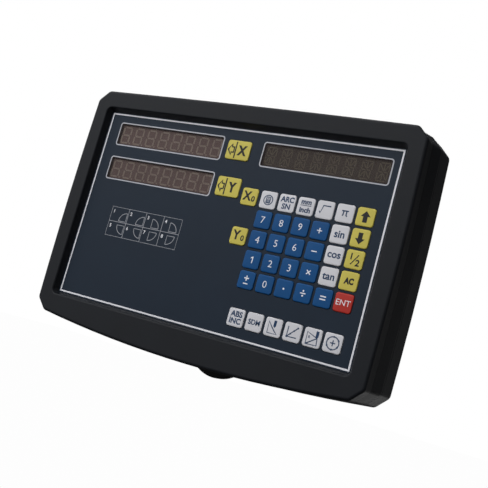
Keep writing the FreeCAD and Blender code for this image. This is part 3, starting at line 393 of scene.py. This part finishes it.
def model_bar(length, width):
    """One bar of a digit, along X, its ends cut to points, standing on the diffuser's face."""
    bpy.ops.object.select_all(action="DESELECT")
    bpy.ops.mesh.primitive_cube_add(size=1.0, location=(0, -BAR_RISE / 2, 0))
    bar = bpy.context.object
    bar.scale = (length, BAR_RISE, width)
    settle(bar)
    bpy.ops.object.mode_set(mode="EDIT")
    bpy.ops.mesh.select_mode(type="EDGE")
    bpy.ops.mesh.select_all(action="DESELECT")
    bpy.ops.object.mode_set(mode="OBJECT")
    for edge in bar.data.edges:
        a, b = (bar.data.vertices[i].co for i in edge.vertices)
        edge.select = abs(a.x - b.x) < 1e-6 and abs(a.z - b.z) < 1e-6
    bpy.ops.object.mode_set(mode="EDIT")
    bpy.ops.mesh.bevel(offset=width * 0.46, segments=1)
    bpy.ops.object.mode_set(mode="OBJECT")
    return bar


def digit_bars(fine):
    """(x, z, turn, length) of each bar of one digit, round its own centre."""
    half_w, quarter = DIGIT_W / 2, DIGIT_H / 4
    bars = [(0, s * DIGIT_H / 2, 0, DIGIT_W * 0.9) for s in (-1, 1)]
    bars += [(sx * half_w, sz * quarter, 90, DIGIT_H / 2 * 0.9) for sx in (-1, 1) for sz in (-1, 1)]
    if not fine:
        return bars + [(0, 0, 0, DIGIT_W * 0.9)]
    slope = math.degrees(math.atan2(DIGIT_H / 2, half_w))
    bars += [(s * half_w / 2, 0, 0, half_w * 0.85) for s in (-1, 1)]
    bars += [(0, s * quarter, 90, DIGIT_H / 2 * 0.8) for s in (-1, 1)]
    bars += [(sx * half_w / 2, sz * quarter, sx * sz * slope, quarter * 1.5)
             for sx in (-1, 1) for sz in (-1, 1)]
    return bars


def place_bar(bar, x, z, turn):
    copy = bar.copy()
    copy.data = bar.data.copy()
    bpy.context.scene.collection.objects.link(copy)
    copy.data.transform(Matrix.Translation((x, 0, z)) @ Matrix.Rotation(math.radians(-turn), 4, "Y"))
    return copy


WINDOW_LEDGE = 0.85 * MM
diffuser_y = windows_high.y + 0.15 * MM
for window, fine in (("x", False), ("y", False), ("message", True)):
    bpy.ops.object.select_all(action="DESELECT")
    bpy.ops.mesh.primitive_cube_add(size=1.0, location=(windows[window].x, (diffuser_y + modules_low.y) / 2,
                                                        windows[window].z))
    diffuser = bpy.context.object
    diffuser.name = "diffuser_" + window
    diffuser.scale = (WINDOW_W - 2 * WINDOW_LEDGE, modules_low.y - diffuser_y, WINDOW_H - 2 * WINDOW_LEDGE)
    settle(diffuser)
    bpy.ops.object.mode_set(mode="EDIT")
    bpy.ops.mesh.select_all(action="SELECT")
    bpy.ops.mesh.bevel(offset=0.08 * MM, segments=1)
    bpy.ops.object.mode_set(mode="OBJECT")
    diffuser.data.materials.clear()
    diffuser.data.materials.append(module_face)
    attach(diffuser, "console")

for window, fine in (("x", False), ("y", False), ("message", True)):
    width = 0.8 * MM if fine else 1.35 * MM
    patterns = {}
    copies = []
    for k in range(DIGITS):
        digit_x = (k - MIDDLE_DIGIT) * DIGIT_PITCH
        for x, z, turn, length in digit_bars(fine):
            if length not in patterns:
                patterns[length] = model_bar(length, width)
            copies.append(place_bar(patterns[length], x + digit_x + z * DIGIT_LEAN, z, turn))
        if not fine:
            dot = place_bar(patterns[DIGIT_W * 0.9], 0, 0, 0)
            dot.data.transform(Matrix.Diagonal((0.2, 1, 0.9, 1)))
            dot.data.transform(Matrix.Translation((digit_x + DIGIT_W * 0.69, 0, -DIGIT_H / 2)))
            copies.append(dot)
    for pattern in patterns.values():
        bpy.data.objects.remove(pattern)
    bpy.ops.object.select_all(action="DESELECT")
    for copy in copies:
        copy.select_set(True)
    bpy.context.view_layer.objects.active = copies[0]
    bpy.ops.object.join()
    digits = bpy.context.object
    digits.name = "digits_" + window
    digits.location = (windows[window].x, diffuser_y, windows[window].z)
    settle(digits)
    digits.data.materials.clear()
    digits.data.materials.append(dull_bar if fine else milky_bar)
    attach(digits, "console")


# ---------------------------------------------------------------- key caps
# Forty satin caps, moulded in four colours, each with softly rounded edges, a retaining lip behind the
# case wall and a round stem that presses its switch. The legends are pad printed.
key_finishes = {
    "yellow": grained("yellow_key", (0.57, 0.49, 0.085), 0.42, 0.30 * MM, 0.006 * MM, cloud=0.04),
    "white": grained("white_key", (0.63, 0.63, 0.66), 0.42, 0.30 * MM, 0.006 * MM, cloud=0.03),
    "blue": grained("blue_key", (0.004, 0.066, 0.205), 0.42, 0.30 * MM, 0.006 * MM, cloud=0.06, shine=0.3),
    "red": grained("red_key", (0.42, 0.024, 0.015), 0.42, 0.30 * MM, 0.006 * MM, cloud=0.06),
}
black_ink = grained("black_ink", (0.012, 0.012, 0.014), 0.45, 0.20 * MM, 0.004 * MM)
blue_ink = grained("blue_ink", (0.012, 0.040, 0.100), 0.45, 0.20 * MM, 0.004 * MM)
KEY_LIP = 0.55 * MM
KEY_LIP_T = 0.8 * MM
KEY_CORNER = 1.9 * MM
KEY_STEM_R = 1.65 * MM
ROUNDING = ((0.05, 0.16), (0.11, 0.14), (0.19, 0.10), (0.34, 0.06), (0.60, 0.04))   # inwards, forwards
LIP_AHEAD = 8.4 * MM       # back of the case wall to the board
rounding_rise = sum(step[1] for step in ROUNDING) * MM


def pick(piece, kind, wanted):
    """Enters edit mode with only the wanted faces or edges selected."""
    bpy.ops.object.mode_set(mode="EDIT")
    bpy.ops.mesh.select_mode(type=kind)
    bpy.ops.mesh.select_all(action="DESELECT")
    bpy.ops.object.mode_set(mode="OBJECT")
    for part in (piece.data.edges if kind == "EDGE" else piece.data.polygons):
        part.select = wanted(part)
    bpy.ops.object.mode_set(mode="EDIT")


def runs_deep(piece, edge):
    a, b = (piece.data.vertices[i].co for i in edge.vertices)
    return abs(a.x - b.x) < 1e-6 and abs(a.z - b.z) < 1e-6


def widen(share_x, share_z, centre):
    bpy.ops.mesh.extrude_region_move(TRANSFORM_OT_translate={"value": (0, 0, 0)})
    bpy.ops.transform.resize(value=(share_x, 1, share_z), center_override=centre)


def push(depth):
    bpy.ops.mesh.extrude_region_move(TRANSFORM_OT_translate={"value": (0, depth, 0)})


def model_cap(name, low, high, lip_y):
    """A key cap inside its node's box: crowned face in front, lip from lip_y, stem to the box's back."""
    width, height = high.x - low.x - 2 * KEY_LIP, high.z - low.z - 2 * KEY_LIP
    centre = ((low.x + high.x) / 2, lip_y, (low.z + high.z) / 2)
    front = low.y + rounding_rise
    bpy.ops.object.select_all(action="DESELECT")
    bpy.ops.mesh.primitive_cube_add(size=1.0, location=(centre[0], (front + lip_y) / 2, centre[2]))
    cap = bpy.context.object
    cap.name = name
    cap.scale = (width, lip_y - front, height)
    settle(cap)
    pick(cap, "EDGE", lambda edge: runs_deep(cap, edge))
    bpy.ops.mesh.bevel(offset=KEY_CORNER, segments=6)
    bpy.ops.object.mode_set(mode="OBJECT")
    pick(cap, "FACE", lambda face: face.normal.y < -0.9)
    for inset, rise in ROUNDING:
        bpy.ops.mesh.inset(thickness=inset * MM, depth=rise * MM)
    bpy.ops.object.mode_set(mode="OBJECT")
    pick(cap, "FACE", lambda face: face.normal.y > 0.9)
    widen(1 + 2 * KEY_LIP / width, 1 + 2 * KEY_LIP / height, centre)
    push(KEY_LIP_T)
    widen(2 * KEY_STEM_R / (width + 2 * KEY_LIP), 2 * KEY_STEM_R / (height + 2 * KEY_LIP), centre)
    bpy.ops.transform.tosphere(value=1.0)
    push(high.y - lip_y - KEY_LIP_T)
    bpy.ops.object.mode_set(mode="OBJECT")
    bpy.ops.object.shade_smooth_by_angle(angle=math.radians(40))
    return cap


key_names = sorted(n[4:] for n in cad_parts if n.startswith("key_") and n != "key_switches")
yellow_keys = {"x", "y", "x_zero", "y_zero", "up", "down", "half", "clear"}
white_keys = {"calculator", "arc", "units", "root", "pi", "sin", "cos", "tan", "datum_mode", "datum_memory",
              "arc_cut", "hole_line", "slope_cut", "hole_circle"}
key_lip_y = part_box("key_switches")[1].y - LIP_AHEAD
patterns = {}
keys = {}
for key in key_names:
    low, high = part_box("key_" + key)
    middle = Vector(((low.x + high.x) / 2, low.y, (low.z + high.z) / 2))
    keys[key] = middle
    shape = round((high.x - low.x) / MM)
    colour = "yellow" if key in yellow_keys else "white" if key in white_keys else "blue"
    colour = "red" if key == "enter" else colour
    if shape not in patterns:
        cap = model_cap("cap_" + key, low, high, key_lip_y)
        patterns[shape] = (cap, middle)
    else:
        pattern, from_middle = patterns[shape]
        cap = pattern.copy()
        cap.data = pattern.data.copy()
        cap.name = "cap_" + key
        bpy.context.scene.collection.objects.link(cap)
        cap.data.transform(Matrix.Translation(middle - from_middle))
        cap.parent = None
    cap.data.materials.clear()
    cap.data.materials.append(key_finishes[colour])
    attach(cap, "cap_" + key)
    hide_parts("key_" + key)


def key_lines(key, lines, width, ink, name="mark"):
    """Strokes on a key, in millimetres from its middle."""
    at = keys[key]
    placed = [(closed, [(at.x + x * MM, at.z + z * MM) for x, z in points]) for closed, points in lines]
    return ink_lines("%s_%s" % (name, key), placed, width * MM, at.y, ink, "cap_" + key)


def key_word(key, word, x, z, height, ink, weight=0.0, squeeze=1.0, name="legend"):
    at = keys[key]
    return ink_text("%s_%s" % (name, key), word, at.x + x * MM, at.z + z * MM, height * MM, at.y, ink,
                    "cap_" + key, weight, squeeze)


def disc(x, z, radius):
    return True, arc_points(x, z, radius / 2, 0, 330, 11)


for figure in "023456789":
    key_word(figure, figure, 0, 0, 5.1, white_ink, -0.004)
key_lines("plus", [(False, [(-1.95, 0), (1.95, 0)]), (False, [(0, -1.95), (0, 1.95)])], 0.75, white_ink)
key_lines("minus", [(False, [(-2.1, 0), (2.1, 0)])], 0.75, white_ink)
key_lines("times", [(False, [(-1.5, -1.5), (1.5, 1.5)]), (False, [(-1.5, 1.5), (1.5, -1.5)])], 0.75,
          white_ink)
key_lines("divide", [(False, [(-2.1, 0), (2.1, 0)]), disc(0, 1.75, 0.55), disc(0, -1.75, 0.55)], 0.8,
          white_ink)
key_lines("equals", [(False, [(-2.2, 1.05), (2.2, 1.05)]), (False, [(-2.2, -1.05), (2.2, -1.05)])], 0.9,
          white_ink)
key_lines("point", [disc(0, 0, 0.7)], 0.8, white_ink)
key_lines("sign", [(False, [(-1.9, 1.3), (1.9, 1.3)]), (False, [(0, -0.6), (0, 3.2)]),
                   (False, [(-1.9, -2.7), (1.9, -2.7)])], 0.85, white_ink)
key_word("enter", "ENT", 0, 0, 4.1, white_ink)
key_word("clear", "AC", 0, 0, 4.0, black_ink, 0.06, 0.84)
for key, word, tall in (("sin", "sin", 5.2), ("cos", "cos", 5.2), ("tan", "tan", 5.2)):
    key_word(key, word, 0, 0, tall, blue_ink, 0.025, 0.98)
key_lines("pi", [(False, [(-2.5, 1.8), (2.5, 1.8)]), (False, [(-1.1, 1.8), (-1.2, -0.6), (-1.7, -2.0)]),
                 (False, [(1.1, 1.8), (1.1, -1.4), (1.9, -2.0)])], 0.95, blue_ink)
key_lines("root", [(False, [(-4.0, -1.2), (-3.3, -2.7), (-1.7, 3.0), (4.0, 3.0)])], 1.0, blue_ink)
key_word("units", "mm", 0, 2.9, 3.7, blue_ink, 0.04)
key_word("units", "inch", 0, -2.6, 3.7, blue_ink, 0.04, name="legend_lower")
key_lines("units", [(False, [(-4.3, 0.7), (4.3, 0.7)])], 0.5, blue_ink)
key_word("arc", "ARC", 0, 2.8, 3.9, blue_ink, 0.035, 0.95)
key_word("arc", "SN", 0, -2.5, 3.9, blue_ink, 0.035, name="legend_lower")
key_word("datum_mode", "ABS", 0, 2.7, 3.9, blue_ink, 0.035)
key_word("datum_mode", "INC", 0, -2.4, 3.9, blue_ink, 0.035, name="legend_lower")
key_word("datum_memory", "SDM", 0, 0, 3.6, blue_ink, 0.03, 0.95)
key_word("half", "1", -2.6, 2.0, 4.4, black_ink, 0.03)
key_word("half", "2", 2.6, -2.0, 4.4, black_ink, 0.03, name="legend_lower")
key_lines("half", [(False, [(-2.2, -3.6), (2.5, 3.6)])], 0.8, black_ink)
for key, word in (("x_zero", "X"), ("y_zero", "Y")):
    key_word(key, word, -1.8, 0.6, 6.8, black_ink, 0.035, 0.9)
    key_word(key, "0", 3.5, -1.2, 4.0, black_ink, 0.035, name="legend_lower")
for key, word in (("x", "X"), ("y", "Y")):
    key_word(key, word, 3.5, 0, 7.2, black_ink, 0.05, 0.85)
    key_lines(key, [(False, [(-2.4, -6.6), (-2.4, 6.6)])], 1.1, black_ink, "divider")
    key_lines(key, [(True, [(-8.8, 0), (-5.9, 4.3), (-5.9, 2.1), (-3.8, 2.1), (-3.8, -2.1), (-5.9, -2.1),
                            (-5.9, -4.3)])], 1.4, black_ink, "arrow")


def key_shape(key, points, ink, name="shape"):
    """Filled printed shape on a key, from its corners in millimetres."""
    at = keys[key]
    bpy.ops.object.select_all(action="DESELECT")
    outline = bpy.data.curves.new("%s_%s" % (name, key), "CURVE")
    outline.dimensions = "2D"
    outline.fill_mode = "BOTH"
    outline.extrude = INK
    corner = outline.splines.new("POLY")
    corner.points.add(len(points) - 1)
    for point, (x, z) in zip(corner.points, points):
        point.co = (x * MM, z * MM, 0, 1)
    corner.use_cyclic_u = True
    holder = bpy.data.objects.new("%s_%s" % (name, key), outline)
    bpy.context.scene.collection.objects.link(holder)
    holder.select_set(True)
    bpy.context.view_layer.objects.active = holder
    bpy.ops.object.convert(target="MESH")
    piece = bpy.context.object
    piece.rotation_euler = (math.pi / 2, 0, 0)
    piece.location = at
    settle(piece)
    piece.data.materials.clear()
    piece.data.materials.append(ink)
    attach(piece, "cap_" + key)


key_shape("1", [(0.85, 2.5), (0.25, 2.5), (-1.2, 1.45), (-1.2, 0.8), (0.1, 1.45), (0.1, -2.5),
                (0.85, -2.5)], white_ink)
up_arrow = [(0, 4.3), (3.6, 0.3), (1.65, 0.3), (1.65, -4.0), (-1.65, -4.0), (-1.65, 0.3), (-3.6, 0.3)]
key_shape("up", up_arrow, black_ink)
key_shape("down", [(x, -z) for x, z in up_arrow], black_ink)
cutter = [(-1.0, 2.6), (1.1, 2.6), (1.1, -1.2), (0.3, -2.6), (-1.0, -1.6)]
key_shape("arc_cut", [(x + 1.0, z + 2.5) for x, z in cutter], blue_ink)
key_lines("arc_cut", [(True, [(-3.8, 3.7), (-3.7, -4.4), (3.9, -4.4), (2.0, -2.8), (-1.0, 0.3)])], 0.8,
          blue_ink)
key_lines("hole_line", [(False, [(-3.7, 3.9), (-3.7, -3.4), (3.8, -3.3)]),
                        (False, [(-3.7, -3.4), (3.6, 3.7)])], 0.8, blue_ink)
key_lines("hole_line", [disc(-3.7 + 2.43 * k, -3.4 + 2.36 * k, 0.6) for k in range(4)], 0.8, blue_ink,
          "holes")
key_shape("slope_cut", [(x + 3.2, z + 2.6) for x, z in cutter], blue_ink)
key_lines("slope_cut", [(True, [(-4.3, 3.5), (-4.1, -4.8), (4.1, -4.7), (3.6, 0.3)]),
                        (False, [(-4.1, -4.8), (3.6, 0.3)])], 0.8, blue_ink)
key_word("slope_cut", "R", -2.2, 0.2, 1.9, blue_ink, 0.02)
key_lines("hole_circle", [(True, arc_points(0, 0, 4.4, 0, 345, 23)), (False, [(-1.9, 0), (1.9, 0)]),
                          (False, [(0, -2.1), (0, 2.1)])], 0.8, blue_ink)
key_lines("hole_circle", [disc(4.4 * math.cos(math.radians(a)), 4.4 * math.sin(math.radians(a)), 0.55)
                          for a in (30, 90, 150, 210, 270, 330)], 0.85, blue_ink, "holes")
key_lines("calculator", [(True, arc_points(0, 0, 3.6, 0, 345, 23)), box_line(-1.6, 1.6, -2.2, 2.2, 0.4)],
          0.75, blue_ink)
key_lines("calculator", [disc(x, z, 0.3) for x in (-0.8, 0, 0.8) for z in (-1.4, -0.6, 0.2)]
          + [(False, [(-0.9, 1.2), (0.9, 1.2)])], 0.5, blue_ink, "dots")


# ---------------------------------------------------------------- boards and switches inside
# Glass-fibre boards under green solder mask, with black mouldings on them. They only show as glimpses
# through the rear slots.
solder_mask = grained("solder_mask", (0.012, 0.085, 0.035), 0.35, 0.8 * MM, 0.01 * MM)
switch_moulding = grained("switch_moulding", (0.03, 0.03, 0.032), 0.4, 0.3 * MM, 0.006 * MM)
finish_nodes(solder_mask, "main_board", "power_supply")
finish_nodes(switch_moulding, "key_switches")


# ---------------------------------------------------------------- rear fittings
# Nine-way sockets in plated steel shells, black mains inlet with its fuse drawer, rocker switch and a
# brass earth post. Each socket has a moulded black face with nine contacts, and its axis letter is printed
# on the wall above it. The rocker's two halves carry the usual off and on marks.
def plated(name, colour, roughness):
    """Zinc or brass: metal with fine turning or rolling streaks and uneven gloss."""
    metal = bpy.data.materials.new(name)
    metal.use_nodes = True
    nodes, links = metal.node_tree.nodes, metal.node_tree.links
    shader = nodes["Principled BSDF"]
    shader.inputs["Metallic"].default_value = 1.0
    place = nodes.new("ShaderNodeTexCoord")
    stretch = nodes.new("ShaderNodeMapping")
    stretch.inputs["Scale"].default_value = (1.0, 0.12, 1.0)
    streaks = nodes.new("ShaderNodeTexNoise")
    streaks.inputs["Scale"].default_value = 1400.0
    streaks.inputs["Detail"].default_value = 3.0
    links.new(place.outputs["Object"], stretch.inputs["Vector"])
    links.new(stretch.outputs["Vector"], streaks.inputs["Vector"])
    tint = nodes.new("ShaderNodeValToRGB")
    tint.color_ramp.elements[0].color = [c * 0.78 for c in colour] + [1.0]
    tint.color_ramp.elements[1].color = [min(1.0, c * 1.12) for c in colour] + [1.0]
    links.new(streaks.outputs["Fac"], tint.inputs["Fac"])
    links.new(tint.outputs["Color"], shader.inputs["Base Color"])
    gloss = nodes.new("ShaderNodeMapRange")
    gloss.inputs["To Min"].default_value = roughness - 0.08
    gloss.inputs["To Max"].default_value = roughness + 0.10
    links.new(streaks.outputs["Fac"], gloss.inputs["Value"])
    links.new(gloss.outputs["Result"], shader.inputs["Roughness"])
    relief = nodes.new("ShaderNodeBump")
    relief.inputs["Strength"].default_value = 0.6
    relief.inputs["Distance"].default_value = 0.008 * MM
    links.new(streaks.outputs["Fac"], relief.inputs["Height"])
    links.new(relief.outputs["Normal"], shader.inputs["Normal"])
    return metal


zinc = plated("zinc_plate", (0.60, 0.60, 0.58), 0.34)
brass = plated("turned_brass", (0.72, 0.52, 0.22), 0.30)
black_fitting = grained("black_fitting", (0.012, 0.012, 0.013), 0.38, 0.4 * MM, 0.01 * MM)
rocker_gloss = grained("rocker_gloss", (0.010, 0.010, 0.011), 0.22, 0.4 * MM, 0.004 * MM)
finish_nodes(zinc, "scale_sockets")
finish_nodes(black_fitting, "power_inlet", "fuse_drawer", "switch_body")
finish_nodes(rocker_gloss, "switch_rocker")
finish_nodes(brass, "ground_terminal")

sockets_low, sockets_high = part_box("scale_sockets")
rear_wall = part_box("rear_shell")[1].y
socket_z = (sockets_low.z + sockets_high.z) / 2
SOCKET_HALF = 15.4 * MM
FACE_W, FACE_H, FACE_T = 15.4 * MM, 6.8 * MM, 0.5 * MM
FACE_CORNER = 1.5 * MM
FACE_TAPER = 0.155         # share of its width that the face loses towards its lower edge
CONTACT_PITCH = 2.77 * MM
CONTACT_ROW = 1.42 * MM    # each row above or below the middle
CONTACT_R = 0.5 * MM
MARK_RISE = 11.5 * MM
MARK_H = 4.0 * MM
socket_places = {"x": sockets_low.x + SOCKET_HALF, "y": sockets_high.x - SOCKET_HALF}
for axis, socket_x in socket_places.items():
    bpy.ops.object.select_all(action="DESELECT")
    bpy.ops.mesh.primitive_cube_add(size=1.0, location=(socket_x, sockets_high.y, socket_z))
    face = bpy.context.object
    face.name = "socket_face_" + axis
    face.scale = (FACE_W, FACE_T, FACE_H)
    settle(face)
    pick(face, "EDGE", lambda edge: runs_deep(face, edge))
    bpy.ops.mesh.bevel(offset=FACE_CORNER, segments=5)
    bpy.ops.object.mode_set(mode="OBJECT")
    for vertex in face.data.vertices:
        drop = (socket_z + FACE_H / 2 - vertex.co.z) / FACE_H
        vertex.co.x = socket_x + (vertex.co.x - socket_x) * (1 - FACE_TAPER * drop)
    face.data.materials.clear()
    face.data.materials.append(black_fitting)
    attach(face, "console")
    rings = []
    for count, row in ((5, 1), (4, -1)):
        for k in range(count):
            rings.append((True, arc_points(socket_x + (k - (count - 1) / 2) * CONTACT_PITCH,
                                           socket_z + row * CONTACT_ROW, CONTACT_R, 0, 330, 11)))
    ink_lines("socket_contacts_" + axis, rings, 0.4 * MM, sockets_high.y + FACE_T / 2, brass, "console")
    ink_text("socket_mark_" + axis, axis.upper(), socket_x, socket_z + MARK_RISE, MARK_H, rear_wall,
             white_ink, "console", turn=math.pi)

rocker_low, rocker_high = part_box("switch_rocker")
rocker_x = (rocker_low.x + rocker_high.x) / 2
AXLE_SINK = 1.0 * MM       # rocker's axle, in from the wall's face
# Strokes of each mark, its place out from and above the axle, and how far its half leans at rest.
marks = {
    "off": ([(True, arc_points(0, 0, 1.5 * MM, 0, 345, 23))], 2.09 * MM, 4.12 * MM, 1.0),
    "on": ([(False, [(0, -1.5 * MM), (0, 1.5 * MM)])], 3.59 * MM, -2.92 * MM, 23.0),
}
for name, (strokes, out, up, lean) in marks.items():
    mark = ink_lines("rocker_mark_" + name, strokes, 0.5 * MM, 0, white_ink, "power_rocker")
    place = Matrix.Translation((rocker_x, rear_wall - AXLE_SINK + out, socket_z + up))
    mark.data.transform(place @ Matrix.Rotation(math.radians(lean), 4, "X"))


# ---------------------------------------------------------------- arm mount
# Cast parts under black powder coat with its slight orange-peel skin, a zinc-plated bolt and washer,
# and a moulded hand knob.
powder_coat = grained("powder_coat", (0.0060, 0.0060, 0.0066), 0.5, 0.9 * MM, 0.05 * MM, shine=0.25)
knob_moulding = grained("knob_moulding", (0.0060, 0.0060, 0.0066), 0.42, 0.5 * MM, 0.012 * MM, shine=0.3)
finish_nodes(powder_coat, "mount_plate", "arm_flange")
finish_nodes(zinc, "pivot_bolt")
finish_nodes(knob_moulding, "clamp_knob")


# ---------------------------------------------------------------- screws
# Pan-headed and flat-headed screws, zinc plated.
screw_zinc = plated("screw_zinc", (0.50, 0.50, 0.49), 0.38)
finish_nodes(screw_zinc, "case_screws", "inner_screws")
